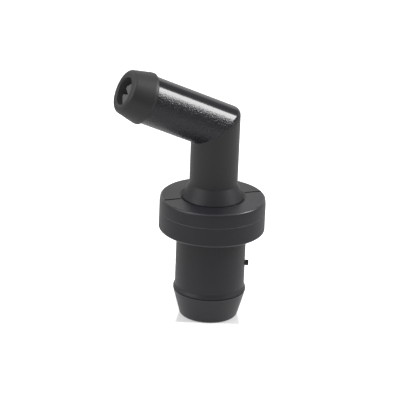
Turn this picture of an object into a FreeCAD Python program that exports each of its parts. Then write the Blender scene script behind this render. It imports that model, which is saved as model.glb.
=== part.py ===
import FreeCAD, Part
import math
import os

# A crankcase ventilation valve in moulded nylon: a barrel that is pushed into a grommet, a flange
# where the two mouldings are welded together, and an elbow with a barbed hose nipple.
# Inside, a spring holds a steel plunger down on the inlet seat. Manifold vacuum lifts it, and its
# taper then narrows the metering orifice above it.
# Sizes are millimetres. Z is the valve's axis, and the origin lies on it at the flange's underside,
# where the grommet stops. The barrel points down, and the outlet leaves the elbow toward -X.

# Barrel
barrel_d = 17.4
barrel_length = 22.9
barrel_ridge_d = 18.2
barrel_ridge_height = 6.8
barrel_ridge_land = 0.6
barrel_ridge_back = 0.8
barrel_nose_d = 14.4
barrel_nose_bevel = 0.4
chamber_d = 12.8
inlet_d = 7.6
inlet_bevel = 0.4
inlet_floor = 2.2

# Small pip on the barrel's side
pip_d = 1.3
pip_height = 0.9
pip_bevel = 0.2
pip_depth = 9.0
pip_angle = -20.0

# Flange, in two halves that meet at the weld
flange_d = 26.4
flange_height = 8.6
flange_weld_height = 4.95
flange_edge_bevel = 0.45
flange_wall = 2.2
flange_floor = 2.0
flange_roof = 2.0
spigot_depth = 1.8
spigot_wall = 1.4
spigot_clearance = 0.05

# Skirt at the foot of the neck, with a fine groove round it
skirt_d = 15.3
skirt_height = 3.6
skirt_groove_width = 0.4
skirt_groove_depth = 0.25
throat_d = 11.0
throat_height = 4.4

# Neck, elbow and outlet pipe
pipe_d = 12.0
pipe_bore = 7.0
elbow_height = 27.1
elbow_turn = 66.0
elbow_corner_round = 1.5
outlet_length = 26.1

# Barb and mouth of the hose nipple
nipple_ridge_d = 13.1
nipple_ridge_from_mouth = 5.4
nipple_ridge_land = 0.6
nipple_ridge_back = 0.35
nipple_nose_d = 10.7
nipple_nose_bevel = 0.55
mouth_chamfer = 0.2

# Two fingers inside the mouth, on the -Y side
finger_depth = 3.0
finger_inset = 0.15
finger_tip_gap = 0.4
finger_tip_offset = 1.05
finger_tip_width = 0.6
finger_notch_gap = 2.9
finger_root_offset = 3.8

# Inlet seat, a steel washer on the floor of the chamber
inlet_seat_bore = 6.4
inlet_seat_thickness = 0.8
inlet_seat_clearance = 0.05

# Metering seat, a steel disc with a drawn collar, held down by the upper moulding
metering_d = 17.0
metering_thickness = 1.0
metering_orifice_d = 5.6
metering_collar_height = 1.2
metering_collar_wall = 0.9
metering_bevel = 0.3
metering_clearance = 0.1
hold_down_wall = 1.4

# Plunger
plunger_lift = 5.0
plunger_rest_gap = 0.05
plunger_stop_gap = 0.1
plunger_head_d = 10.6
plunger_head_thickness = 1.6
plunger_head_bevel = 0.25
plunger_stem_d = 5.0
plunger_taper_length = 9.0
plunger_tip_d = 2.4
plunger_tip_bevel = 0.6
plunger_hole_d = 2.6
plunger_hole_depth = 8.0
guide_count = 3
guide_width = 1.8
guide_height = 3.2
guide_clearance = 0.08
stop_rib_width = 1.0
stop_rib_d = 6.8

# Spring
spring_wire_d = 0.6
spring_mean_d = 8.7
spring_turns = 7.0
spring_runs_per_turn = 14
spring_wire_sides = 6
spring_end_gap = 0.03

# Levels that several pieces share, measured up from the flange's underside
barrel_end_z = -barrel_length
chamber_floor_z = barrel_end_z + inlet_floor
inlet_seat_top_z = chamber_floor_z + inlet_seat_thickness
metering_low_z = flange_floor - metering_thickness
flange_roof_z = flange_height - flange_roof
skirt_top_z = flange_height + skirt_height
throat_top_z = flange_roof_z + throat_height
plunger_low_z = inlet_seat_top_z + plunger_rest_gap
plunger_head_top_z = plunger_low_z + plunger_head_thickness
cup_r = flange_d / 2 - flange_wall

up = FreeCAD.Vector(0, 0, 1)
across = FreeCAD.Vector(0, 1, 0)
origin = FreeCAD.Vector(0, 0, 0)
elbow_centre = FreeCAD.Vector(0, 0, elbow_height)
turn = math.radians(elbow_turn)
outlet_direction = FreeCAD.Vector(-math.sin(turn), 0, math.cos(turn))


def outline_face(corners):
    # A face in the XZ plane. Each corner is (x, z, bevel), and the bevel is how far along both
    # sides the corner is cut back. Bevel 0 keeps it sharp.
    sharp = [FreeCAD.Vector(x, 0, z) for x, z, bevel in corners]
    points = []
    for index, here in enumerate(sharp):
        bevel = corners[index][2]
        if bevel == 0:
            points.append(here)
            continue
        points.append(here + (sharp[index - 1] - here).normalize() * bevel)
        points.append(here + (sharp[(index + 1) % len(sharp)] - here).normalize() * bevel)
    return Part.Face(Part.makePolygon(points + points[:1]))


def turned(corners):
    # The outline turned once round the Z axis.
    return outline_face(corners).revolve(origin, up, 360)


def around(solid, count):
    # Copies of a solid spaced evenly round the Z axis.
    copies = []
    for index in range(count):
        copy = solid.copy()
        copy.rotate(origin, up, 360 * index / count)
        copies.append(copy)
    return copies


def along_outlet(solid):
    # Moves a solid that was made along +Z from the origin onto the outlet's axis.
    moved = solid.copy()
    moved.rotate(origin, across, -elbow_turn)
    moved.translate(elbow_centre)
    return moved


def beyond_mitre():
    # A block that fills the outlet's side of the plane where the neck and the outlet meet.
    size = 4 * outlet_length
    block = Part.makeBox(size, size, size, FreeCAD.Vector(-size / 2, -size / 2, 0))
    block.rotate(origin, across, -elbow_turn / 2)
    block.translate(elbow_centre)
    return block


def mitred(neck, outlet):
    # Joins a vertical solid to one along the outlet, in a plain mitre without a bend.
    block = beyond_mitre()
    return neck.cut(block).fuse(outlet.common(block))


def outer_corner():
    # The sliver that rounds the elbow's outer corner, as long across as the pipe is wide.
    reach = elbow_corner_round * math.tan(turn / 2)
    corner = FreeCAD.Vector(pipe_d / 2, 0, elbow_height + pipe_d / 2 * math.tan(turn / 2))
    outlet_normal = FreeCAD.Vector(math.cos(turn), 0, math.sin(turn))
    neck_normal = FreeCAD.Vector(1, 0, 0)
    neck_tangent = corner - up * reach
    outlet_tangent = corner + outlet_direction * reach
    arc_centre = neck_tangent - neck_normal * elbow_corner_round
    arc_middle = arc_centre + (corner - arc_centre).normalize() * elbow_corner_round
    outside = corner + (corner - arc_centre).normalize() * pipe_d
    arc = Part.Arc(neck_tangent, arc_middle, outlet_tangent).toShape()
    loop = [
        arc,
        Part.makeLine(outlet_tangent, outlet_tangent + outlet_normal * reach),
        Part.makeLine(outlet_tangent + outlet_normal * reach, outside),
        Part.makeLine(outside, neck_tangent + neck_normal * reach),
        Part.makeLine(neck_tangent + neck_normal * reach, neck_tangent),
    ]
    sliver = Part.Face(Part.Wire(loop)).extrude(across * (2 * pipe_d))
    sliver.translate(across * -pipe_d)
    return sliver


def outlet_outside():
    # The outlet pipe and the barb of its nipple, along +Z from the elbow's centre.
    ridge = outlet_length - nipple_ridge_from_mouth
    return turned([
        (0, -pipe_d, 0),
        (pipe_d / 2, -pipe_d, 0),
        (pipe_d / 2, ridge - nipple_ridge_land - nipple_ridge_back, 0),
        (nipple_ridge_d / 2, ridge - nipple_ridge_land, 0),
        (nipple_ridge_d / 2, ridge, 0),
        (nipple_nose_d / 2, outlet_length, nipple_nose_bevel),
        (0, outlet_length, 0),
    ])


def outlet_inside():
    # The outlet's bore, with a small chamfer where it opens at the mouth.
    return turned([
        (0, -pipe_d, 0),
        (pipe_bore / 2, -pipe_d, 0),
        (pipe_bore / 2, outlet_length - mouth_chamfer, 0),
        (pipe_bore / 2 + 2 * mouth_chamfer, outlet_length + mouth_chamfer, 0),
        (0, outlet_length + mouth_chamfer, 0),
    ])


def mouth_finger(side):
    # One wedge that reaches from the bore's wall almost to its centre. Side is 1 above, -1 below.
    # The two wedges share a foot at the wall, and the notch between them ends at that foot.
    wall = pipe_bore / 2 + mouth_chamfer
    tip_near = side * (finger_tip_offset - finger_tip_width / 2)
    tip_far = side * (finger_tip_offset + finger_tip_width / 2)
    points = [
        FreeCAD.Vector(tip_near, -finger_tip_gap, 0),
        FreeCAD.Vector(tip_far, -finger_tip_gap, 0),
        FreeCAD.Vector(side * finger_root_offset, -wall, 0),
        FreeCAD.Vector(0, -wall, 0),
        FreeCAD.Vector(0, -finger_notch_gap, 0),
    ]
    wedge = Part.Face(Part.makePolygon(points + points[:1])).extrude(up * finger_depth)
    wedge = wedge.common(Part.makeCylinder(wall, finger_depth))
    wedge.translate(up * (outlet_length - finger_inset - finger_depth))
    return along_outlet(wedge)


def upper_housing():
    # The upper half of the flange, the skirt, the neck, the elbow and the outlet, in one moulding.
    spigot_r = cup_r - spigot_clearance
    spigot_low = flange_weld_height - spigot_depth
    hold_down_r = metering_d / 2
    cap = turned([
        (throat_d / 2, flange_roof_z, 0),
        (pipe_bore / 2, throat_top_z, 0),
        (pipe_bore / 2, skirt_top_z, 0),
        (pipe_d / 2, skirt_top_z, 0),
        (skirt_d / 2, flange_height, 0),
        (skirt_d / 2, flange_height - skirt_groove_depth, 0),
        (skirt_d / 2 + skirt_groove_width, flange_height - skirt_groove_depth, 0),
        (skirt_d / 2 + skirt_groove_width, flange_height, 0),
        (flange_d / 2, flange_height, flange_edge_bevel),
        (flange_d / 2, flange_weld_height, 0),
        (spigot_r, flange_weld_height, 0),
        (spigot_r, spigot_low, 0),
        (spigot_r - spigot_wall, spigot_low, 0),
        (spigot_r - spigot_wall, flange_roof_z, 0),
        (hold_down_r, flange_roof_z, 0),
        (hold_down_r, flange_floor, 0),
        (hold_down_r - hold_down_wall, flange_floor, 0),
        (hold_down_r - hold_down_wall, flange_roof_z, 0),
    ])
    neck_foot = FreeCAD.Vector(0, 0, skirt_top_z)
    neck_reach = elbow_height + pipe_d - skirt_top_z
    neck_outside = Part.makeCylinder(pipe_d / 2, neck_reach, neck_foot)
    neck_inside = Part.makeCylinder(pipe_bore / 2, neck_reach, neck_foot)
    outside = mitred(neck_outside, along_outlet(outlet_outside())).cut(outer_corner())
    inside = mitred(neck_inside, along_outlet(outlet_inside()))
    pipe = outside.cut(inside)
    fingers = [mouth_finger(1), mouth_finger(-1)]
    return pipe.fuse([cap] + fingers).removeSplitter()


def barrel_pip():
    # The small round pip that stands out from the side of the barrel.
    root = pip_d
    pip = turned([
        (0, -root, 0),
        (pip_d / 2, -root, 0),
        (pip_d / 2, pip_height, pip_bevel),
        (0, pip_height, 0),
    ])
    pip.rotate(origin, across, 90)
    pip.translate(FreeCAD.Vector(barrel_d / 2, 0, -pip_depth))
    pip.rotate(origin, up, pip_angle)
    return pip


def lower_housing():
    # The barrel with its barb, and the lower half of the flange, in one moulding.
    ridge_z = barrel_end_z + barrel_ridge_height
    barrel = turned([
        (inlet_d / 2, barrel_end_z, inlet_bevel),
        (barrel_nose_d / 2, barrel_end_z, barrel_nose_bevel),
        (barrel_ridge_d / 2, ridge_z, 0),
        (barrel_ridge_d / 2, ridge_z + barrel_ridge_land, 0),
        (barrel_d / 2, ridge_z + barrel_ridge_land + barrel_ridge_back, 0),
        (barrel_d / 2, 0, 0),
        (flange_d / 2, 0, flange_edge_bevel),
        (flange_d / 2, flange_weld_height, 0),
        (cup_r, flange_weld_height, 0),
        (cup_r, flange_floor, 0),
        (metering_d / 2 + metering_clearance, flange_floor, 0),
        (metering_d / 2 + metering_clearance, metering_low_z, 0),
        (chamber_d / 2, metering_low_z, 0),
        (chamber_d / 2, chamber_floor_z, 0),
        (inlet_d / 2, chamber_floor_z, 0),
    ])
    return barrel.fuse(barrel_pip()).removeSplitter()


def inlet_seat():
    # The washer that the plunger's head rests on.
    washer_r = chamber_d / 2 - inlet_seat_clearance
    return turned([
        (inlet_seat_bore / 2, chamber_floor_z, 0),
        (washer_r, chamber_floor_z, 0),
        (washer_r, inlet_seat_top_z, 0),
        (inlet_seat_bore / 2, inlet_seat_top_z, 0),
    ])


def metering_seat():
    # The disc that the spring pushes against, with the orifice in its drawn collar.
    orifice_r = metering_orifice_d / 2
    collar_r = orifice_r + metering_collar_wall
    return turned([
        (orifice_r, metering_low_z, metering_bevel),
        (metering_d / 2, metering_low_z, 0),
        (metering_d / 2, flange_floor, 0),
        (collar_r, flange_floor, metering_bevel),
        (collar_r, flange_floor + metering_collar_height, 0),
        (orifice_r, flange_floor + metering_collar_height, metering_bevel),
    ])


def plunger():
    # The pintle: a flat head with guides, a ribbed stem that stops it, and a taper that meters.
    stem_r = plunger_stem_d / 2
    taper_low_z = flange_floor - plunger_lift
    taper_top_z = taper_low_z + plunger_taper_length
    hole_top_z = plunger_low_z + plunger_hole_depth
    turned_part = turned([
        (plunger_hole_d / 2, plunger_low_z, 0),
        (plunger_head_d / 2, plunger_low_z, plunger_head_bevel),
        (plunger_head_d / 2, plunger_head_top_z, plunger_head_bevel),
        (stem_r, plunger_head_top_z, 0),
        (stem_r, taper_low_z, 0),
        (plunger_tip_d / 2, taper_top_z, plunger_tip_bevel),
        (0, taper_top_z, 0),
        (0, hole_top_z + plunger_hole_d / 2, 0),
        (plunger_hole_d / 2, hole_top_z, 0),
    ])
    guide_r = chamber_d / 2 - guide_clearance
    guide_start = (plunger_head_d + spring_mean_d + spring_wire_d) / 4
    guide = Part.makeBox(
        guide_r, guide_width, guide_height,
        FreeCAD.Vector(guide_start, -guide_width / 2, plunger_low_z),
    )
    guide_limit = Part.makeCylinder(guide_r, guide_height, FreeCAD.Vector(0, 0, plunger_low_z))
    guides = [copy.common(guide_limit) for copy in around(guide, guide_count)]
    rib_top_z = metering_low_z - plunger_lift - plunger_stop_gap
    rib = Part.makeBox(
        stop_rib_d / 2, stop_rib_width, rib_top_z - plunger_head_top_z,
        FreeCAD.Vector(0, -stop_rib_width / 2, plunger_head_top_z),
    )
    rib = rib.cut(Part.makeCylinder(plunger_stem_d / 4 + plunger_hole_d / 4, rib_top_z - plunger_low_z,
                                    FreeCAD.Vector(0, 0, plunger_low_z)))
    ribs = around(rib, guide_count)
    return turned_part.fuse(guides + ribs).removeSplitter()


def plunger_spring():
    # A helix with both ends ground flat, between the plunger's head and the metering seat.
    # The wire is drawn as short straight runs with a six-sided section, which keeps it light.
    low_z = plunger_head_top_z + spring_end_gap
    high_z = metering_low_z - spring_end_gap
    runs = round(spring_turns * spring_runs_per_turn)
    points = []
    for index in range(runs + 1):
        angle = 2 * math.pi * index / spring_runs_per_turn
        x = spring_mean_d / 2 * math.cos(angle)
        y = spring_mean_d / 2 * math.sin(angle)
        points.append(FreeCAD.Vector(x, y, low_z + (high_z - low_z) * index / runs))
    outward = FreeCAD.Vector(1, 0, 0)
    upward = (points[1] - points[0]).cross(outward).normalize()
    section = []
    for index in range(spring_wire_sides + 1):
        angle = 2 * math.pi * (index + 0.5) / spring_wire_sides
        spread = outward * math.cos(angle) + upward * math.sin(angle)
        section.append(points[0] + spread * (spring_wire_d / 2))
    coil = Part.makePolygon(points).makePipeShell([Part.makePolygon(section)], True, False, 1)
    ground = Part.makeCylinder(spring_mean_d, high_z - low_z, FreeCAD.Vector(0, 0, low_z))
    return coil.common(ground)


pieces = {
    "upper_housing": upper_housing(),
    "lower_housing": lower_housing(),
    "inlet_seat": inlet_seat(),
    "metering_seat": metering_seat(),
    "plunger": plunger(),
    "plunger_spring": plunger_spring(),
}

os.makedirs("parts", exist_ok=True)
for name, shape in pieces.items():
    shape.exportStep(os.path.join("parts", name + ".step"))
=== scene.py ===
import math

import bmesh
import bpy
from mathutils import Matrix, Vector


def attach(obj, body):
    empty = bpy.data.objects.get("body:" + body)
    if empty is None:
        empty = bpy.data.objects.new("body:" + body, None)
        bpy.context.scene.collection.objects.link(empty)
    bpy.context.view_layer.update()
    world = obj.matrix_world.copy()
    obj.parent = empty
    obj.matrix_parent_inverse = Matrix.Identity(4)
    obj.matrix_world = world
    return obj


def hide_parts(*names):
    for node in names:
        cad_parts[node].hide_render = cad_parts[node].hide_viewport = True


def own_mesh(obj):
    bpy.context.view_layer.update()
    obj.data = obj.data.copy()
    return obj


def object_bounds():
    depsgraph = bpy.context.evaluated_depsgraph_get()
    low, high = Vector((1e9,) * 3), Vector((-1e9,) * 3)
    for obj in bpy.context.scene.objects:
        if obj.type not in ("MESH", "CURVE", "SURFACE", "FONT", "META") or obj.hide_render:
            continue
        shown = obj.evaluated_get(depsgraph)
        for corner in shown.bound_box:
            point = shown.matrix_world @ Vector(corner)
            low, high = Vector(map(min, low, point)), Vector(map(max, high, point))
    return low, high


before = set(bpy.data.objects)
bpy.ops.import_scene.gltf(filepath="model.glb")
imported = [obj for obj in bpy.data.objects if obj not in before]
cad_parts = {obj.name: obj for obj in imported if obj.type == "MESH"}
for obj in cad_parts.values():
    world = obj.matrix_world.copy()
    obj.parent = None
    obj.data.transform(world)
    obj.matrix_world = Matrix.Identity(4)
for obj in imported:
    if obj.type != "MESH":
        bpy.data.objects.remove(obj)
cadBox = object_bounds()
mm = 0.001

# Camera and studio

photoView = {
    "azimuth": -20.58,          # degrees round the valve from straight in front
    "elevation": 21.25,
    "roll": 2.40,               # the valve leans right at the top of the picture
    "distance": 510.4,          # mm from the point below
    "lookedAt": (0, 0, 8.0),    # mm, a point on the valve's axis inside the flange
    "lookedAtPixel": (212.8, 197.8),
    "pixelsPerMm": 4.04,
    "imagePixels": 400,
    "sensorWidth": 36.0,
}

softboxes = {
    "sideSoftbox": {"size": (0.56, 0.36), "power": 4.4,
                    "direction": (0.735, -0.285, 0.60), "distance": 1.0},
    # the side softbox is brightest in its middle
    "softboxCore": {"size": (0.26, 0.36), "power": 3.0,
                    "direction": (0.745, -0.18, 0.64), "distance": 1.0},
    "fillSoftbox": {"size": (0.9, 0.9), "power": 5.5,
                    "direction": (-0.95, -0.10, 0.50), "distance": 1.3},
    "rimSoftbox": {"size": (0.5, 0.3), "power": 2.2,
                   "direction": (-0.46, -0.10, 0.88), "distance": 1.2},
}

studio = {
    "brightToward": (-0.02, 0.34, 0.55),   # the white room is brighter behind and above
    "roomLevels": ((0.20, 0.20), (0.38, 0.46), (0.60, 0.54), (0.90, 0.95)),
    "cardToward": (0.72, 0.38, 0.58),      # a dark card behind the side softbox
    "cardEdges": (0.950, 0.982),
    "cardShade": 0.36,
    "floorWidth": 6.0,
    "floorColour": 0.80,
    "floorGlow": 0.64,              # added for camera rays only, so that the floor reads white
    # the valve's reflections see a painted glow on the table; its brightness by distance from the
    # foot is painted light and shade
    "paintedReflectionReach": 0.5,           # metres of the white table that the valve reflects
    "paintedReflectionLevels": ((0.016, 0.70), (0.026, 0.88), (0.050, 0.72), (0.10, 0.56), (0.15, 0.60),
                       (0.22, 0.74), (0.34, 0.74), (0.48, 0.50), (0.76, 0.22), (1.0, 0.12)),
    "paintedReflectionStrength": 1.4,
    "polishToward": (-0.3515, -0.9362, 0.0),
    "polishEnd": (0.0066, 0.0078),
    "polishFade": (0.012, 0.018),
    "polishShare": 0.46,
    "polishRoughness": 0.08,
}


def clearSelection():
    if bpy.context.object and bpy.context.object.mode != "OBJECT":
        bpy.ops.object.mode_set(mode="OBJECT")
    bpy.ops.object.select_all(action="DESELECT")


def mathNode(nodes, operation, first=None, second=None):
    node = nodes.new("ShaderNodeMath")
    node.operation = operation
    if first is not None:
        node.inputs[0].default_value = first
    if second is not None:
        node.inputs[1].default_value = second
    return node


def greyRamp(nodes, levels):
    ramp = nodes.new("ShaderNodeValToRGB")
    elements = ramp.color_ramp.elements
    for index, (position, level) in enumerate(levels):
        if index < 2:
            element = elements[index]
            element.position = position
        else:
            element = elements.new(position)
        element.color = (level,) * 3 + (1,)
    return ramp


def rangeNode(nodes, ends, results):
    node = nodes.new("ShaderNodeMapRange")
    node.inputs["From Min"].default_value, node.inputs["From Max"].default_value = ends
    node.inputs["To Min"].default_value, node.inputs["To Max"].default_value = results
    return node


def addPhotoCamera(view):
    azimuth, elevation, roll = (math.radians(view[key]) for key in ("azimuth", "elevation", "roll"))
    back = Vector((math.sin(azimuth) * math.cos(elevation),
                   -math.cos(azimuth) * math.cos(elevation), math.sin(elevation)))
    right = Vector((0, 0, 1)).cross(back).normalized()
    up = back.cross(right)
    tiltedRight = right * math.cos(roll) + up * math.sin(roll)
    tiltedUp = up * math.cos(roll) - right * math.sin(roll)
    point = Vector(view["lookedAt"]) * mm
    place = point + back * view["distance"] * mm
    middle = view["imagePixels"] / 2
    offsetRight = (view["lookedAtPixel"][0] - middle) / view["pixelsPerMm"] * mm
    offsetUp = (middle - view["lookedAtPixel"][1]) / view["pixelsPerMm"] * mm
    aim = point - tiltedRight * offsetRight - tiltedUp * offsetUp
    outward = (place - aim).normalized()
    side = tiltedUp.cross(outward).normalized()
    top = outward.cross(side)
    clearSelection()
    bpy.ops.object.camera_add(location=place)
    camera = bpy.context.object
    camera.name = "photoCamera"
    camera.matrix_world = Matrix((
        (side.x, top.x, outward.x, place.x),
        (side.y, top.y, outward.y, place.y),
        (side.z, top.z, outward.z, place.z),
        (0, 0, 0, 1),
    ))
    camera.data.sensor_width = view["sensorWidth"]
    camera.data.lens = (view["distance"] * view["pixelsPerMm"] / view["imagePixels"]
                        * view["sensorWidth"])
    camera.data.clip_start = 0.01
    camera.data.clip_end = 20
    bpy.context.scene.camera = camera


def addSoftbox(name, box):
    aim = Vector(box["direction"]).normalized()
    clearSelection()
    bpy.ops.object.light_add(type="AREA", location=aim * box["distance"])
    lamp = bpy.context.object
    lamp.name = name
    lamp.data.shape = "RECTANGLE"
    lamp.data.size, lamp.data.size_y = box["size"]
    lamp.data.energy = box["power"]
    lamp.rotation_mode = "QUATERNION"
    lamp.rotation_quaternion = aim.to_track_quat("Z", "Y")


def buildWorld(settings):
    # a white studio that is darker on the camera's side; the camera itself sees plain white
    world = bpy.data.worlds.new("studioWorld")
    bpy.context.scene.world = world
    world.use_nodes = True
    nodes, links = world.node_tree.nodes, world.node_tree.links
    nodes.clear()
    coordinates = nodes.new("ShaderNodeTexCoord")
    towardBack = nodes.new("ShaderNodeVectorMath")
    towardBack.operation = "DOT_PRODUCT"
    towardBack.inputs[1].default_value = settings["brightToward"]
    shifted = mathNode(nodes, "ADD", second=0.5)
    room = greyRamp(nodes, settings["roomLevels"])
    towardCard = nodes.new("ShaderNodeVectorMath")
    towardCard.operation = "DOT_PRODUCT"
    towardCard.inputs[1].default_value = settings["cardToward"]
    card = rangeNode(nodes, settings["cardEdges"], (1.0, settings["cardShade"]))
    lit = nodes.new("ShaderNodeBackground")
    seen = nodes.new("ShaderNodeBackground")
    seen.inputs["Color"].default_value = (1, 1, 1, 1)
    lightPath = nodes.new("ShaderNodeLightPath")
    mix = nodes.new("ShaderNodeMixShader")
    output = nodes.new("ShaderNodeOutputWorld")
    links.new(coordinates.outputs["Generated"], towardBack.inputs[0])
    links.new(towardBack.outputs["Value"], shifted.inputs[0])
    links.new(shifted.outputs[0], room.inputs["Fac"])
    links.new(room.outputs["Color"], lit.inputs["Color"])
    links.new(coordinates.outputs["Generated"], towardCard.inputs[0])
    links.new(towardCard.outputs["Value"], card.inputs["Value"])
    links.new(card.outputs["Result"], lit.inputs["Strength"])
    links.new(lightPath.outputs["Is Camera Ray"], mix.inputs["Fac"])
    links.new(lit.outputs[0], mix.inputs[1])
    links.new(seen.outputs[0], mix.inputs[2])
    links.new(mix.outputs[0], output.inputs["Surface"])


def addFloor(settings, height):
    # a polished white table: the camera sees plain white, with the shadow and, beside the foot
    # only, a faint mirror image; glossy rays see a painted glow instead, with painted shade near
    # the foot, darker farther away
    clearSelection()
    bpy.ops.mesh.primitive_plane_add(size=settings["floorWidth"], location=(0, 0, height))
    floor = bpy.context.object
    floor.name = "studioFloor"
    material = bpy.data.materials.new("paleFloor")
    material.use_nodes = True
    nodes, links = material.node_tree.nodes, material.node_tree.links
    nodes.clear()
    coordinates = nodes.new("ShaderNodeTexCoord")
    distance = nodes.new("ShaderNodeVectorMath")
    distance.operation = "LENGTH"
    # painted reflection glow: brighter or darker by distance from the foot, seen by glossy rays in
    # place of the lit table
    farness = mathNode(nodes, "DIVIDE", second=settings["paintedReflectionReach"])
    paintedReflectionLevel = greyRamp(nodes, settings["paintedReflectionLevels"])
    paintedReflection = nodes.new("ShaderNodeEmission")
    paintedReflection.inputs["Strength"].default_value = settings["paintedReflectionStrength"]
    lightPath = nodes.new("ShaderNodeLightPath")
    paint = nodes.new("ShaderNodeBsdfDiffuse")
    paint.inputs["Color"].default_value = (settings["floorColour"],) * 3 + (1,)
    glowStrength = mathNode(nodes, "MULTIPLY", second=settings["floorGlow"])
    glow = nodes.new("ShaderNodeEmission")
    plain = nodes.new("ShaderNodeAddShader")
    forward = nodes.new("ShaderNodeVectorMath")
    forward.operation = "DOT_PRODUCT"
    forward.inputs[1].default_value = settings["polishToward"]
    behindFront = rangeNode(nodes, settings["polishEnd"], (settings["polishShare"], 0.0))
    nearFoot = rangeNode(nodes, settings["polishFade"], (1.0, 0.0))
    polish = nodes.new("ShaderNodeBsdfGlossy")
    polish.inputs["Roughness"].default_value = settings["polishRoughness"]
    nearShare = mathNode(nodes, "MULTIPLY")
    share = mathNode(nodes, "MULTIPLY")
    seen = nodes.new("ShaderNodeMixShader")
    surface = nodes.new("ShaderNodeMixShader")
    output = nodes.new("ShaderNodeOutputMaterial")
    links.new(coordinates.outputs["Object"], distance.inputs[0])
    links.new(distance.outputs["Value"], farness.inputs[0])
    links.new(farness.outputs[0], paintedReflectionLevel.inputs["Fac"])
    links.new(paintedReflectionLevel.outputs["Color"], paintedReflection.inputs["Color"])
    links.new(distance.outputs["Value"], nearFoot.inputs["Value"])
    links.new(coordinates.outputs["Object"], forward.inputs[0])
    links.new(forward.outputs["Value"], behindFront.inputs["Value"])
    links.new(behindFront.outputs["Result"], nearShare.inputs[0])
    links.new(nearFoot.outputs["Result"], nearShare.inputs[1])
    links.new(nearShare.outputs[0], share.inputs[0])
    links.new(lightPath.outputs["Is Camera Ray"], share.inputs[1])
    links.new(lightPath.outputs["Is Camera Ray"], glowStrength.inputs[0])
    links.new(glowStrength.outputs[0], glow.inputs["Strength"])
    links.new(paint.outputs[0], plain.inputs[0])
    links.new(glow.outputs[0], plain.inputs[1])
    links.new(share.outputs[0], seen.inputs["Fac"])
    links.new(plain.outputs[0], seen.inputs[1])
    links.new(polish.outputs[0], seen.inputs[2])
    links.new(lightPath.outputs["Is Glossy Ray"], surface.inputs["Fac"])
    links.new(seen.outputs[0], surface.inputs[1])
    links.new(paintedReflection.outputs[0], surface.inputs[2])
    links.new(surface.outputs[0], output.inputs["Surface"])
    floor.data.materials.append(material)


addPhotoCamera(photoView)
buildWorld(studio)
for softboxName, softbox in softboxes.items():
    addSoftbox(softboxName, softbox)
addFloor(studio, cadBox[0].z)
bpy.context.scene.view_settings.view_transform = "Standard"
print("camera, lamps and floor are set")

# Finishes

nylonFinish = {
    "colour": (0.0103, 0.0103, 0.0132),
    "paler": (0.0142, 0.0142, 0.0175),
    "lustre": 1.43,             # the refractive index that the surface shows
    "roughness": (0.40, 0.52),
    "grainScale": 5200.0,       # grains to a metre in the mould's satin face
    "grainHeight": 0.000006,
    "rippleScale": 1100.0,      # slight orange peel, seen where the moulding is glossy
    "rippleHeight": 0.00001,
    "rippledBelow": None,       # where it is given, only that part of the piece is rippled
    "flowScale": 170.0,
    "flowHeight": 0.000012,
    "partingWidth": 0.00009,
    "partingHeight": 0.00006,
    "partingShade": 0.008,
}

steelFinish = {
    "colour": (0.50, 0.49, 0.47),
    "darker": (0.36, 0.35, 0.34),
    "roughness": (0.26, 0.42),
    "turningScale": 9000.0,
    "turningHeight": 0.000004,
    "turnedStretch": (0.02, 0.02, 1.0),
    "rolledStretch": (1.0, 0.05, 1.0),
}


def newGroup(name, inputs, outputs):
    group = bpy.data.node_groups.new(name, "ShaderNodeTree")
    for label, kind, value in inputs:
        socket = group.interface.new_socket(label, in_out="INPUT", socket_type=kind)
        if value is not None:
            socket.default_value = value
    for label, kind in outputs:
        group.interface.new_socket(label, in_out="OUTPUT", socket_type=kind)
    return group, group.nodes.new("NodeGroupInput"), group.nodes.new("NodeGroupOutput")


def buildMouldGrain():
    # fine satin grain left by the mould, over slow cloudy changes in the plastic
    group, inside, outside = newGroup(
        "mouldGrain",
        [("Vector", "NodeSocketVector", None), ("Grain Scale", "NodeSocketFloat", 5000.0),
         ("Ripple Scale", "NodeSocketFloat", 1100.0), ("Cloud Scale", "NodeSocketFloat", 180.0)],
        [("Grain", "NodeSocketFloat"), ("Ripple", "NodeSocketFloat"), ("Cloud", "NodeSocketFloat")],
    )
    nodes, links = group.nodes, group.links
    grain = nodes.new("ShaderNodeTexNoise")
    grain.inputs["Detail"].default_value = 3.0
    ripple = nodes.new("ShaderNodeTexNoise")
    ripple.inputs["Detail"].default_value = 2.0
    cloud = nodes.new("ShaderNodeTexNoise")
    cloud.inputs["Detail"].default_value = 2.0
    links.new(inside.outputs["Vector"], grain.inputs["Vector"])
    links.new(inside.outputs["Grain Scale"], grain.inputs["Scale"])
    links.new(inside.outputs["Vector"], ripple.inputs["Vector"])
    links.new(inside.outputs["Ripple Scale"], ripple.inputs["Scale"])
    links.new(inside.outputs["Vector"], cloud.inputs["Vector"])
    links.new(inside.outputs["Cloud Scale"], cloud.inputs["Scale"])
    links.new(grain.outputs["Fac"], outside.inputs["Grain"])
    links.new(ripple.outputs["Fac"], outside.inputs["Ripple"])
    links.new(cloud.outputs["Fac"], outside.inputs["Cloud"])
    return group


def buildPartingLine():
    # the fine line where the mould's halves met, in the plane through both pipes
    group, inside, outside = newGroup(
        "partingLine",
        [("Vector", "NodeSocketVector", None), ("Width", "NodeSocketFloat", 0.0001)],
        [("Line", "NodeSocketFloat")],
    )
    nodes, links = group.nodes, group.links
    split = nodes.new("ShaderNodeSeparateXYZ")
    away = mathNode(nodes, "ABSOLUTE")
    share = mathNode(nodes, "DIVIDE")
    near = mathNode(nodes, "SUBTRACT", first=1.0)
    near.use_clamp = True
    links.new(inside.outputs["Vector"], split.inputs[0])
    links.new(split.outputs["Y"], away.inputs[0])
    links.new(away.outputs[0], share.inputs[0])
    links.new(inside.outputs["Width"], share.inputs[1])
    links.new(share.outputs[0], near.inputs[1])
    links.new(near.outputs[0], outside.inputs["Line"])
    return group


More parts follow.
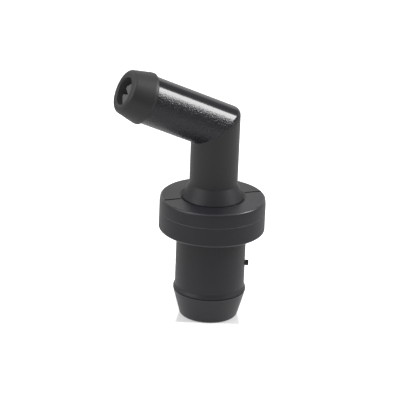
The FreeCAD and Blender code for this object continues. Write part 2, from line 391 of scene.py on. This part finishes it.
mouldGrain = buildMouldGrain()
partingLine = buildPartingLine()

# the outlet's gloss is clean on top, and its ripple fades in below; both places are in metres
# along a line that points up and away from the pipe
outletRipple = {"up": (0.4067, 0.0, 0.9135), "full": 0.0273, "none": 0.0287}


def rippleMask(nodes, links, coordinates, below):
    height = nodes.new("ShaderNodeVectorMath")
    height.operation = "DOT_PRODUCT"
    height.inputs[1].default_value = below["up"]
    share = rangeNode(nodes, (below["full"], below["none"]), (1.0, 0.0))
    rippled = mathNode(nodes, "MULTIPLY")
    links.new(coordinates.outputs["Object"], height.inputs[0])
    links.new(height.outputs["Value"], share.inputs["Value"])
    links.new(share.outputs["Result"], rippled.inputs[1])
    return rippled


def nylon(name, **changes):
    # the moulded plastic; what a finish changes from nylonFinish is named in its call
    finish = dict(nylonFinish, **changes)
    material = bpy.data.materials.new(name)
    material.use_nodes = True
    nodes, links = material.node_tree.nodes, material.node_tree.links
    shader = nodes["Principled BSDF"]
    shader.inputs["IOR"].default_value = finish["lustre"]
    coordinates = nodes.new("ShaderNodeTexCoord")
    surface = nodes.new("ShaderNodeGroup")
    surface.node_tree = mouldGrain
    surface.inputs["Grain Scale"].default_value = finish["grainScale"]
    surface.inputs["Ripple Scale"].default_value = finish["rippleScale"]
    surface.inputs["Cloud Scale"].default_value = finish["flowScale"]
    line = nodes.new("ShaderNodeGroup")
    line.node_tree = partingLine
    line.inputs["Width"].default_value = finish["partingWidth"]
    colour = nodes.new("ShaderNodeMix")
    colour.data_type = "RGBA"
    colour.inputs["A"].default_value = finish["colour"] + (1,)
    colour.inputs["B"].default_value = finish["paler"] + (1,)
    shade = nodes.new("ShaderNodeMix")
    shade.data_type = "RGBA"
    shade.inputs["B"].default_value = (finish["partingShade"],) * 3 + (1,)
    rough = rangeNode(nodes, (0.0, 1.0), finish["roughness"])
    fine = nodes.new("ShaderNodeBump")
    fine.inputs["Distance"].default_value = finish["grainHeight"]
    skin = nodes.new("ShaderNodeBump")
    skin.inputs["Distance"].default_value = finish["rippleHeight"]
    slow = nodes.new("ShaderNodeBump")
    slow.inputs["Distance"].default_value = finish["flowHeight"]
    ridge = nodes.new("ShaderNodeBump")
    ridge.inputs["Distance"].default_value = finish["partingHeight"]
    links.new(coordinates.outputs["Object"], surface.inputs["Vector"])
    links.new(coordinates.outputs["Object"], line.inputs["Vector"])
    links.new(surface.outputs["Cloud"], colour.inputs["Factor"])
    links.new(colour.outputs["Result"], shade.inputs["A"])
    links.new(line.outputs["Line"], shade.inputs["Factor"])
    links.new(shade.outputs["Result"], shader.inputs["Base Color"])
    links.new(surface.outputs["Cloud"], rough.inputs["Value"])
    links.new(rough.outputs["Result"], shader.inputs["Roughness"])
    links.new(surface.outputs["Grain"], fine.inputs["Height"])
    links.new(surface.outputs["Cloud"], slow.inputs["Height"])
    links.new(line.outputs["Line"], ridge.inputs["Height"])
    ripple = surface.outputs["Ripple"]
    if finish["rippledBelow"]:
        rippled = rippleMask(nodes, links, coordinates, finish["rippledBelow"])
        links.new(ripple, rippled.inputs[0])
        ripple = rippled.outputs[0]
    links.new(ripple, skin.inputs["Height"])
    links.new(fine.outputs["Normal"], skin.inputs["Normal"])
    links.new(skin.outputs["Normal"], slow.inputs["Normal"])
    links.new(slow.outputs["Normal"], ridge.inputs["Normal"])
    links.new(ridge.outputs["Normal"], shader.inputs["Normal"])
    return material


def steel(name, finish, stretch):
    # turned parts have fine rings round the valve's axis, stamped ones only a rolled grain
    material = bpy.data.materials.new(name)
    material.use_nodes = True
    nodes, links = material.node_tree.nodes, material.node_tree.links
    shader = nodes["Principled BSDF"]
    shader.inputs["Metallic"].default_value = 1.0
    coordinates = nodes.new("ShaderNodeTexCoord")
    mapping = nodes.new("ShaderNodeMapping")
    mapping.inputs["Scale"].default_value = stretch
    grain = nodes.new("ShaderNodeTexNoise")
    grain.inputs["Scale"].default_value = finish["turningScale"]
    grain.inputs["Detail"].default_value = 4.0
    colour = nodes.new("ShaderNodeMix")
    colour.data_type = "RGBA"
    colour.inputs["A"].default_value = finish["colour"] + (1,)
    colour.inputs["B"].default_value = finish["darker"] + (1,)
    rough = rangeNode(nodes, (0.0, 1.0), finish["roughness"])
    bump = nodes.new("ShaderNodeBump")
    bump.inputs["Distance"].default_value = finish["turningHeight"]
    links.new(coordinates.outputs["Object"], mapping.inputs["Vector"])
    links.new(mapping.outputs["Vector"], grain.inputs["Vector"])
    links.new(grain.outputs["Fac"], colour.inputs["Factor"])
    links.new(colour.outputs["Result"], shader.inputs["Base Color"])
    links.new(grain.outputs["Fac"], rough.inputs["Value"])
    links.new(rough.outputs["Result"], shader.inputs["Roughness"])
    links.new(grain.outputs["Fac"], bump.inputs["Height"])
    links.new(bump.outputs["Normal"], shader.inputs["Normal"])
    return material


satinUpper = nylon("satinUpperNylon")
glossOutlet = nylon("glossOutletNylon", lustre=1.45, roughness=(0.07, 0.12), grainHeight=0.0000009,
                    rippleScale=2800.0, rippleHeight=0.00017, rippledBelow=outletRipple,
                    flowHeight=0.00004, partingShade=0.03)
satinNeck = nylon("satinNeckNylon", colour=(0.0104, 0.0104, 0.0118), paler=(0.0143, 0.0143, 0.0158),
                  lustre=1.50, partingShade=0.011)
satinLower = nylon("satinLowerNylon", partingShade=0.0135)
flangeNylon = nylon("flangeTopNylon", roughness=(0.38, 0.46))
edgeNylon = nylon("edgeNylon", lustre=1.53, roughness=(0.26, 0.34), grainHeight=0.000003,
                  partingShade=0.012)
# the bore is painted paler than the body: painted light inside the pipe, where the lamps leave it
# darker
boreNylonPaintedLight = nylon("boreNylonPaintedLight", colour=(0.045, 0.045, 0.047), paler=(0.058, 0.058, 0.060),
                  partingShade=0.045)
# the fingers are painted far paler than the nylon they are moulded from: painted highlights; their
# grain and ripple are bumps
fingerNylonPaintedLight = nylon("fingerNylonPaintedLight", colour=(0.050, 0.050, 0.051), paler=(0.095, 0.095, 0.097),
                    roughness=(0.20, 0.36), grainHeight=0.000048, rippleScale=2400.0,
                    rippleHeight=0.00032, flowHeight=0.00004, partingShade=0.03)
# the weld bead is real geometry; its paler colour is a painted highlight along the weld line
flashNylonPaintedHighlight = nylon("weldFlashNylonPaintedHighlight", colour=(0.050, 0.050, 0.051), paler=(0.070, 0.070, 0.071),
                   roughness=(0.25, 0.35), grainHeight=0.000012, flowHeight=0.00002,
                   partingShade=0.03)
turnedSteel = steel("turnedPlungerSteel", steelFinish, steelFinish["turnedStretch"])
stampedSteel = steel("stampedSeatSteel", steelFinish, steelFinish["rolledStretch"])
wireSteel = steel("drawnSpringSteel", steelFinish, steelFinish["rolledStretch"])
print("finishes are built")

# Modelling helpers; sizes are in mm, and heights are above the flange's underside

close = 0.002 * mm      # points nearer than this count as one
margin = 0.01 * mm      # how far off a plane a point may lie and still be picked


def makeActive(piece, mode="OBJECT"):
    clearSelection()
    piece.select_set(True)
    bpy.context.view_layer.objects.active = piece
    bpy.ops.object.mode_set(mode=mode)


def coat(piece, finishes):
    for finish in finishes:
        piece.data.materials.append(finish)


def growRings(name, rings, sides):
    # starts from one circle and extrudes it ring by ring; each ring is (radius, height) in mm
    radius, height = rings[0]
    clearSelection()
    bpy.ops.mesh.primitive_circle_add(vertices=sides, radius=radius * mm, fill_type="NOTHING",
                                      location=(0, 0, height * mm))
    piece = bpy.context.object
    piece.name = name
    bpy.ops.object.transform_apply(location=True, rotation=True, scale=True)
    bpy.ops.object.mode_set(mode="EDIT")
    bpy.ops.mesh.select_all(action="SELECT")
    for nextRadius, nextHeight in rings[1:]:
        rise = (nextHeight - height) * mm
        bpy.ops.mesh.extrude_region_move(TRANSFORM_OT_translate={"value": (0, 0, rise)})
        factor = nextRadius / radius
        bpy.ops.transform.resize(value=(factor, factor, 1), center_override=(0, 0, 0))
        radius, height = nextRadius, nextHeight
    bpy.ops.object.mode_set(mode="OBJECT")
    return piece


def pickEdges(piece, wanted):
    # in edit mode, selects the edges whose two ends both pass the test
    bpy.ops.mesh.select_mode(type="EDGE")
    bpy.ops.mesh.select_all(action="DESELECT")
    mesh = bmesh.from_edit_mesh(piece.data)
    for edge in mesh.edges:
        edge.select_set(all(wanted(vertex.co) for vertex in edge.verts))
    bmesh.update_edit_mesh(piece.data)


def onRing(radius, height):
    def wanted(point):
        return (abs(math.hypot(point.x, point.y) - radius * mm) < close
                and abs(point.z - height * mm) < close)
    return wanted


def roundRings(piece, rounds, finish=-1):
    # each round is (radius, height, offset, segments), in mm; finish is the new faces' material
    makeActive(piece, "EDIT")
    for radius, height, offset, segments in rounds:
        pickEdges(piece, onRing(radius, height))
        bpy.ops.mesh.bevel(offset=offset * mm, segments=segments, affect="EDGES", material=finish)
    bpy.ops.object.mode_set(mode="OBJECT")


def closeRings(piece, first, last):
    # bridges the first ring of a stack to its last, so that the wall is closed
    makeActive(piece, "EDIT")
    firstRing, lastRing = onRing(*first), onRing(*last)
    pickEdges(piece, lambda point: firstRing(point) or lastRing(point))
    bpy.ops.mesh.bridge_edge_loops()
    tidyNormals()
    bpy.ops.object.mode_set(mode="OBJECT")


def tidyNormals():
    bpy.ops.mesh.select_all(action="SELECT")
    bpy.ops.mesh.remove_doubles(threshold=close)
    bpy.ops.mesh.normals_make_consistent(inside=False)


def combine(piece, other, operation):
    # adds one closed solid to another or cuts it out, and leaves a single clean surface
    makeActive(piece)
    cut = piece.modifiers.new("combine", "BOOLEAN")
    cut.operation = operation
    cut.solver = "EXACT"
    cut.material_mode = "TRANSFER"
    cut.object = other
    bpy.ops.object.modifier_apply(modifier="combine")
    bpy.data.objects.remove(other)


def smoothPiece(piece, angle):
    makeActive(piece)
    bpy.ops.object.shade_smooth_by_angle(angle=math.radians(angle))
    weighted = piece.modifiers.new("weightedNormals", "WEIGHTED_NORMAL")
    weighted.keep_sharp = True
    bpy.ops.object.modifier_apply(modifier="weightedNormals")


# Lower housing: the barrel, its barb and the lower half of the flange

lower = {
    "sides": 192,
    "endZ": -22.9,
    "inletR": 3.8,
    "noseR": 7.2,
    "ridgeR": 9.1,
    "ridgeZ": -16.1,
    "ridgeLand": 0.6,
    "ridgeBack": 0.8,
    "crestDepth": 0.22,         # the fine line round the barb's crest
    "crestSpan": (0.18, 0.44),  # above the ridge's lower edge
    "barrelR": 8.7,
    "flangeR": 13.2,
    "weldZ": 4.95,
    "cupR": 11.0,
    "floorZ": 2.0,
    "seatR": 8.6,
    "shoulderZ": 1.0,
    "chamberR": 6.4,
    "chamberFloorZ": -20.7,
    "ridgeRound": 0.08,
    "crestRound": 0.05,
    "landRound": 0.1,
    "backRound": 0.25,
    "rootRound": 0.4,           # between the barrel and the flange
    "flangeRound": 0.5,
    "noseRound": 0.5,
    "inletRound": 0.45,
    "weldGroove": 0.14,
    "pipSides": 40,
    "pipR": 0.72,
    "pipReach": 0.9,
    "pipRoot": 1.2,             # how deep it starts in the barrel's wall
    "pipZ": -9.0,
    "pipAngle": -20.0,
    "pipRound": 0.12,
}


def buildPip(s):
    length = s["pipReach"] + s["pipRoot"]
    middle = s["barrelR"] + s["pipReach"] - length / 2
    turn = math.radians(s["pipAngle"])
    place = Vector((math.cos(turn) * middle, math.sin(turn) * middle, s["pipZ"])) * mm
    clearSelection()
    bpy.ops.mesh.primitive_cylinder_add(vertices=s["pipSides"], radius=s["pipR"] * mm,
                                        depth=length * mm, location=place,
                                        rotation=(0, math.pi / 2, turn))
    pip = bpy.context.object
    bpy.ops.object.transform_apply(location=True, rotation=True, scale=True)
    bpy.ops.object.mode_set(mode="EDIT")
    tip = (s["barrelR"] + s["pipReach"]) * mm
    outward = Vector((math.cos(turn), math.sin(turn), 0))
    pickEdges(pip, lambda point: point.dot(outward) > tip - margin)
    bpy.ops.mesh.bevel(offset=s["pipRound"] * mm, segments=4, affect="EDGES")
    tidyNormals()
    bpy.ops.object.mode_set(mode="OBJECT")
    return pip


def buildLowerHousing(s):
    landZ = s["ridgeZ"] + s["ridgeLand"]
    backZ = landZ + s["ridgeBack"]
    crestLow, crestHigh = (s["ridgeZ"] + rise for rise in s["crestSpan"])
    crestInnerR = s["ridgeR"] - s["crestDepth"]
    finishes = [satinLower, edgeNylon]
    rings = [
        (s["inletR"], s["endZ"]),
        (s["noseR"], s["endZ"]),
        (s["ridgeR"], s["ridgeZ"]),
        (s["ridgeR"], crestLow),
        (crestInnerR, crestLow),
        (crestInnerR, crestHigh),
        (s["ridgeR"], crestHigh),
        (s["ridgeR"], landZ),
        (s["barrelR"], backZ),
        (s["barrelR"], 0),
        (s["flangeR"], 0),
        (s["flangeR"], s["weldZ"]),
        (s["cupR"], s["weldZ"]),
        (s["cupR"], s["floorZ"]),
        (s["seatR"], s["floorZ"]),
        (s["seatR"], s["shoulderZ"]),
        (s["chamberR"], s["shoulderZ"]),
        (s["chamberR"], s["chamberFloorZ"]),
        (s["inletR"], s["chamberFloorZ"]),
    ]
    shell = growRings("lowerHousing", rings, s["sides"])
    closeRings(shell, rings[0], rings[-1])
    coat(shell, finishes)
    roundRings(shell, [
        (s["inletR"], s["endZ"], s["inletRound"], 4),
        (s["noseR"], s["endZ"], s["noseRound"], 5),
        (s["ridgeR"], landZ, s["landRound"], 2),
        (s["barrelR"], backZ, s["backRound"], 3),
        (s["flangeR"], s["weldZ"], s["weldGroove"], 2),
    ])
    roundRings(shell, [
        (s["ridgeR"], s["ridgeZ"], s["ridgeRound"], 2),
        (s["ridgeR"], crestHigh, s["crestRound"], 2),
        (s["barrelR"], 0, s["rootRound"], 4),
        (s["flangeR"], 0, s["flangeRound"], 6),
    ], finish=finishes.index(edgeNylon))
    pip = buildPip(s)
    coat(pip, [satinLower])
    combine(shell, pip, "UNION")
    smoothPiece(shell, angle=35)
    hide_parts("lower_housing")
    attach(shell, "housing")


buildLowerHousing(lower)
print("lower housing is modelled")

# Upper housing: the upper half of the flange, the skirt, the neck, the elbow and the outlet

upper = {
    "sides": 192,
    "boreR": 3.5,
    "pipeR": 6.0,
    "throatR": 5.5,
    "throatTopZ": 11.0,
    "roofZ": 6.6,
    "holdDownR": 8.5,
    "holdDownWall": 1.4,
    "floorZ": 2.0,
    "spigotR": 10.95,
    "spigotWall": 1.4,
    "spigotZ": 3.15,
    "weldZ": 4.95,
    "flangeR": 13.2,
    "flangeTopZ": 8.6,
    "flangeDraft": ((0, 1.8), (0.07, 0.9), (0.21, 0)),    # inward and below the flange's top
    "flangeRound": 0.42,
    "weldGroove": 0.14,
    "grooveWidth": 0.6,
    "grooveFloor": 0.12,
    "grooveDepth": 0.3,
    "skirtR": 7.65,
    "skirtTopZ": 12.2,
    "grooveRound": 0.12,
    "skirtRound": 0.1,
    "neckRound": 0.2,
    "neckFromZ": 12.5,          # from here up the neck has a finish of its own
    "outsideFromR": 4.0,        # faces farther out than this belong to the outside
    "elbowZ": 27.1,
    "turn": 66.0,
    "spare": 14.0,              # length past the elbow that the mitre cuts off again
    "cornerOffset": 0.95,
    "innerOffset": 0.3,
    "outletLength": 26.1,
    "ridgeR": 6.55,
    "ridgeFromMouth": 5.4,
    "ridgeLand": 0.6,
    "ridgeBack": 0.27,
    "backRound": 0.12,
    "landRound": 0.08,
    "ridgeRound": 0.22,
    "noseR": 5.35,
    "noseRound": 0.75,
    "mouthChamfer": 0.2,
    "mouthRound": 0.06,
    "boreMargin": 0.05,
    "fingerDepth": 3.0,
    "fingerInset": 0.15,
    "fingerTipY": -0.4,
    "fingerTipX": 1.05,
    "fingerTipWidth": 0.6,
    "fingerRound": 0.1,
    "fingerRootInner": (-0.3, -3.9),    # x and y, inside the pipe's wall
    "fingerRootOuter": (3.22, -2.92),
    "partingFromR": 8.45,
    "partingToR": 12.7,
    "partingWidth": 0.55,
    "partingDepth": 0.35,
}


def layAlongOutlet(s):
    # a piece that was made along the valve's axis goes onto the outlet's axis; without a window
    # the rotate operator turns the other way, so the angle is positive here
    bpy.ops.mesh.select_all(action="SELECT")
    bpy.ops.transform.rotate(value=math.radians(s["turn"]), orient_axis="Y",
                             center_override=(0, 0, 0))
    bpy.ops.transform.translate(value=(0, 0, s["elbowZ"] * mm))


def buildFinger(s, side):
    # a cube at the wall, drawn in to a narrow tip near the bore's middle; side is 1 above, -1 below
    innerX, innerY = s["fingerRootInner"]
    outerX, outerY = s["fingerRootOuter"]
    rootWidth = outerX - innerX
    rootX = side * (outerX + innerX) / 2
    top = s["outletLength"] - s["fingerInset"]
    middle = (rootX, (s["fingerTipY"] + innerY) / 2, top - s["fingerDepth"] / 2)
    clearSelection()
    bpy.ops.mesh.primitive_cube_add(
        size=1,
        location=[value * mm for value in middle],
        scale=(rootWidth * mm, (s["fingerTipY"] - innerY) * mm, s["fingerDepth"] * mm),
    )
    finger = bpy.context.object
    bpy.ops.object.transform_apply(location=True, rotation=True, scale=True)
    bpy.ops.object.mode_set(mode="EDIT")
    nearTip = s["fingerTipY"] * mm - margin
    pickEdges(finger, lambda point: point.y > nearTip)
    bpy.ops.transform.resize(value=(s["fingerTipWidth"] / rootWidth, 1, 1),
                             center_override=(rootX * mm, 0, 0))
    bpy.ops.transform.translate(value=((side * s["fingerTipX"] - rootX) * mm, 0, 0))
    pickEdges(finger, lambda point: point.x * side > outerX * mm - margin)
    bpy.ops.transform.translate(value=(0, (outerY - innerY) * mm, 0))
    pickEdges(finger, lambda point: point.z > top * mm - margin or point.y > nearTip)
    bpy.ops.mesh.bevel(offset=s["fingerRound"] * mm, segments=2, affect="EDGES")
    tidyNormals()
    layAlongOutlet(s)
    bpy.ops.object.mode_set(mode="OBJECT")
    # the fingers' paler nylon is painted light
    coat(finger, [fingerNylonPaintedLight])
    return finger


def buildPartingGroove(s, side):
    # a bar that cuts the shallow line across the flange's top, where the mould's halves met
    length = s["partingToR"] - s["partingFromR"]
    middle = side * (s["partingToR"] + s["partingFromR"]) / 2
    clearSelection()
    bpy.ops.mesh.primitive_cube_add(size=1, location=(middle * mm, 0, s["flangeTopZ"] * mm),
                                    scale=(length * mm, s["partingWidth"] * mm,
                                           2 * s["partingDepth"] * mm))
    bar = bpy.context.object
    bpy.ops.object.transform_apply(location=True, rotation=True, scale=True)
    coat(bar, [satinUpper])
    return bar


def buildCap(s):
    # the flange's upper half, the skirt and the neck
    neckTop = s["elbowZ"] + s["spare"]
    holdInnerR = s["holdDownR"] - s["holdDownWall"]
    spigotInnerR = s["spigotR"] - s["spigotWall"]
    grooveR = s["skirtR"] + s["grooveWidth"]
    grooveZ = s["flangeTopZ"] - s["grooveDepth"]
    rimR = s["flangeR"] - s["flangeDraft"][-1][0]
    draft = [(s["flangeR"] - inward, s["flangeTopZ"] - below) for inward, below in s["flangeDraft"]]
    finishes = [satinUpper, glossOutlet, boreNylonPaintedLight, edgeNylon, satinNeck, flangeNylon]
    cap = growRings("upperHousing", [
        (s["boreR"], neckTop),
        (s["boreR"], s["throatTopZ"]),
        (s["throatR"], s["roofZ"]),
        (holdInnerR, s["roofZ"]),
        (holdInnerR, s["floorZ"]),
        (s["holdDownR"], s["floorZ"]),
        (s["holdDownR"], s["roofZ"]),
        (spigotInnerR, s["roofZ"]),
        (spigotInnerR, s["spigotZ"]),
        (s["spigotR"], s["spigotZ"]),
        (s["spigotR"], s["weldZ"]),
        (s["flangeR"], s["weldZ"]),
        *draft,
        (grooveR, s["flangeTopZ"]),
        (s["skirtR"] + s["grooveFloor"], grooveZ),
        (s["skirtR"], grooveZ),
        (s["skirtR"], s["flangeTopZ"]),
        (s["pipeR"], s["skirtTopZ"]),
        (s["pipeR"], neckTop),
    ], s["sides"])
    coat(cap, finishes)
    roundRings(cap, [(rimR, s["flangeTopZ"], s["flangeRound"], 5)],
               finish=finishes.index(edgeNylon))
    roundRings(cap, [
        (s["flangeR"], s["weldZ"], s["weldGroove"], 2),
        (grooveR, s["flangeTopZ"], s["grooveRound"], 2),
        (s["skirtR"], s["flangeTopZ"], s["skirtRound"], 2),
        (s["pipeR"], s["skirtTopZ"], s["neckRound"], 3),
    ])
    for face in cap.data.polygons:
        reach = math.hypot(face.center.x, face.center.y)
        if face.center.z > s["neckFromZ"] * mm and reach > s["outsideFromR"] * mm:
            face.material_index = finishes.index(satinNeck)
        if abs(face.center.z - s["flangeTopZ"] * mm) < margin and reach > grooveR * mm:
            face.material_index = finishes.index(flangeNylon)
    return cap


def buildOutlet(s):
    # the pipe and its nipple, made upright
    ridgeZ = s["outletLength"] - s["ridgeFromMouth"]
    landZ = ridgeZ - s["ridgeLand"]
    backZ = landZ - s["ridgeBack"]
    chamferR = s["boreR"] + s["mouthChamfer"]
    finishes = [satinNeck, glossOutlet, boreNylonPaintedLight]
    outlet = growRings("outletPipe", [
        (s["pipeR"], -s["spare"]),
        (s["pipeR"], backZ),
        (s["ridgeR"], landZ),
        (s["ridgeR"], ridgeZ),
        (s["noseR"], s["outletLength"]),
        (chamferR, s["outletLength"]),
        (s["boreR"], s["outletLength"] - s["mouthChamfer"]),
        (s["boreR"], -s["spare"]),
    ], s["sides"])
    roundRings(outlet, [
        (s["pipeR"], backZ, s["backRound"], 2),
        (s["ridgeR"], landZ, s["landRound"], 2),
        (s["ridgeR"], ridgeZ, s["ridgeRound"], 3),
        (s["noseR"], s["outletLength"], s["noseRound"], 6),
        (chamferR, s["outletLength"], s["mouthRound"], 2),
    ])
    coat(outlet, finishes)
    for face in outlet.data.polygons:
        reach = math.hypot(face.center.x, face.center.y)
        if face.center.z < backZ * mm and reach > s["outsideFromR"] * mm:
            face.material_index = finishes.index(glossOutlet)
        # the bore's faces get the paler nylon, which is painted light
        if reach < (s["boreR"] + s["boreMargin"]) * mm:
            face.material_index = finishes.index(boreNylonPaintedLight)
    return outlet


def buildUpperHousing(s):
    elbow = Vector((0, 0, s["elbowZ"])) * mm
    half = math.radians(s["turn"]) / 2
    mitreNormal = Vector((-math.sin(half), 0, math.cos(half)))
    cap = buildCap(s)
    outlet = buildOutlet(s)

    # both are cut at the mitre and welded along the cut
    makeActive(outlet, "EDIT")
    layAlongOutlet(s)
    bpy.ops.mesh.select_all(action="SELECT")
    bpy.ops.mesh.bisect(plane_co=elbow, plane_no=mitreNormal, clear_inner=True)
    makeActive(cap, "EDIT")
    bpy.ops.mesh.select_all(action="SELECT")
    bpy.ops.mesh.bisect(plane_co=elbow, plane_no=mitreNormal, clear_outer=True)
    bpy.ops.object.mode_set(mode="OBJECT")
    outlet.select_set(True)
    bpy.ops.object.join()
    bpy.ops.object.mode_set(mode="EDIT")
    tidyNormals()

    def onMitre(point):
        return (abs((point - elbow).dot(mitreNormal)) < close
                and math.hypot(point.x, point.y) > s["outsideFromR"] * mm)
    pickEdges(cap, lambda point: onMitre(point) and point.x > -margin)
    bpy.ops.mesh.bevel(offset=s["cornerOffset"] * mm, segments=8, affect="EDGES")
    pickEdges(cap, lambda point: onMitre(point) and point.x < margin)
    bpy.ops.mesh.bevel(offset=s["innerOffset"] * mm, segments=3, affect="EDGES")
    tidyNormals()
    bpy.ops.object.mode_set(mode="OBJECT")

    for side in (1, -1):
        combine(cap, buildFinger(s, side), "UNION")
        combine(cap, buildPartingGroove(s, side), "DIFFERENCE")
    smoothPiece(cap, angle=35)
    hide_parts("upper_housing")
    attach(cap, "housing")


buildUpperHousing(upper)
print("upper housing is modelled")

# Weld flash: the thin bead squeezed out where the two mouldings were welded

weld = {
    "sides": 256,
    "innerR": 12.90,
    "crestR": 13.18,
    "crestChamfer": 0.06,
    "halfHeight": 0.09,
    "unevenness": 0.012,
}


def buildWeldFlash(s, z):
    flash = growRings("weldFlash", [
        (s["innerR"], z - s["halfHeight"]),
        (s["crestR"] - s["crestChamfer"], z - s["halfHeight"]),
        (s["crestR"], z - s["halfHeight"] / 3),
        (s["crestR"], z + s["halfHeight"] / 3),
        (s["crestR"] - s["crestChamfer"], z + s["halfHeight"]),
        (s["innerR"], z + s["halfHeight"]),
    ], s["sides"])
    closeRings(flash, (s["innerR"], z - s["halfHeight"]), (s["innerR"], z + s["halfHeight"]))
    bpy.ops.object.mode_set(mode="EDIT")
    bpy.ops.mesh.select_all(action="SELECT")
    bpy.ops.transform.vertex_random(offset=s["unevenness"] * mm, uniform=0.3, normal=0.0, seed=4)
    bpy.ops.object.mode_set(mode="OBJECT")
    # the bead's paler nylon is a painted highlight
    coat(flash, [flashNylonPaintedHighlight])
    smoothPiece(flash, angle=60)
    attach(flash, "housing")


buildWeldFlash(weld, lower["weldZ"])
print("weld flash is modelled")

# Spring: a round wire wound between the plunger's head and the metering seat, its ends ground flat

spring = {
    "wireR": 0.3,
    "wireSides": 16,
    "coilR": 4.35,
    "lowZ": -18.22,
    "highZ": 0.97,
    "turns": 7,
    "stepsPerTurn": 48,
    "seatZ": 1.0,
    "lift": 5.0,
    "cutThreshold": 0.001,      # mm; the operator's own 0.1 mm is too coarse for this wire
}


def buildSpring(s):
    length = s["highZ"] - s["lowZ"]
    clearSelection()
    bpy.ops.mesh.primitive_circle_add(vertices=s["wireSides"], radius=s["wireR"] * mm,
                                      location=(s["coilR"] * mm, 0, s["lowZ"] * mm),
                                      rotation=(math.pi / 2, 0, 0))
    coil = bpy.context.object
    coil.name = "plungerSpring"
    bpy.ops.object.transform_apply(location=True, rotation=True, scale=True)
    wind = coil.modifiers.new("wind", "SCREW")
    wind.axis = "Z"
    wind.angle = math.radians(360)
    wind.screw_offset = length / s["turns"] * mm
    wind.iterations = s["turns"]
    wind.steps = wind.render_steps = s["stepsPerTurn"]
    bpy.ops.object.modifier_apply(modifier="wind")
    bpy.ops.object.mode_set(mode="EDIT")
    bpy.ops.mesh.select_all(action="SELECT")
    bpy.ops.mesh.fill_holes(sides=0)
    for height, above in ((s["highZ"], True), (s["lowZ"], False)):
        bpy.ops.mesh.select_all(action="SELECT")
        bpy.ops.mesh.bisect(plane_co=(0, 0, height * mm), plane_no=(0, 0, 1), use_fill=True,
                            clear_outer=above, clear_inner=not above,
                            threshold=s["cutThreshold"] * mm)
    tidyNormals()
    bpy.ops.object.mode_set(mode="OBJECT")
    coat(coil, [wireSteel])
    smoothPiece(coil, angle=50)
    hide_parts("plunger_spring")
    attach(coil, "housing")
    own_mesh(coil)


buildSpring(spring)
print("spring is wound")

# Inner pieces keep their solids and get their steel

for nodeName, material in (("plunger", turnedSteel), ("inlet_seat", stampedSteel),
                           ("metering_seat", stampedSteel)):
    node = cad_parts[nodeName]
    node.data.materials.clear()
    coat(node, [material])
print("inner pieces are finished")
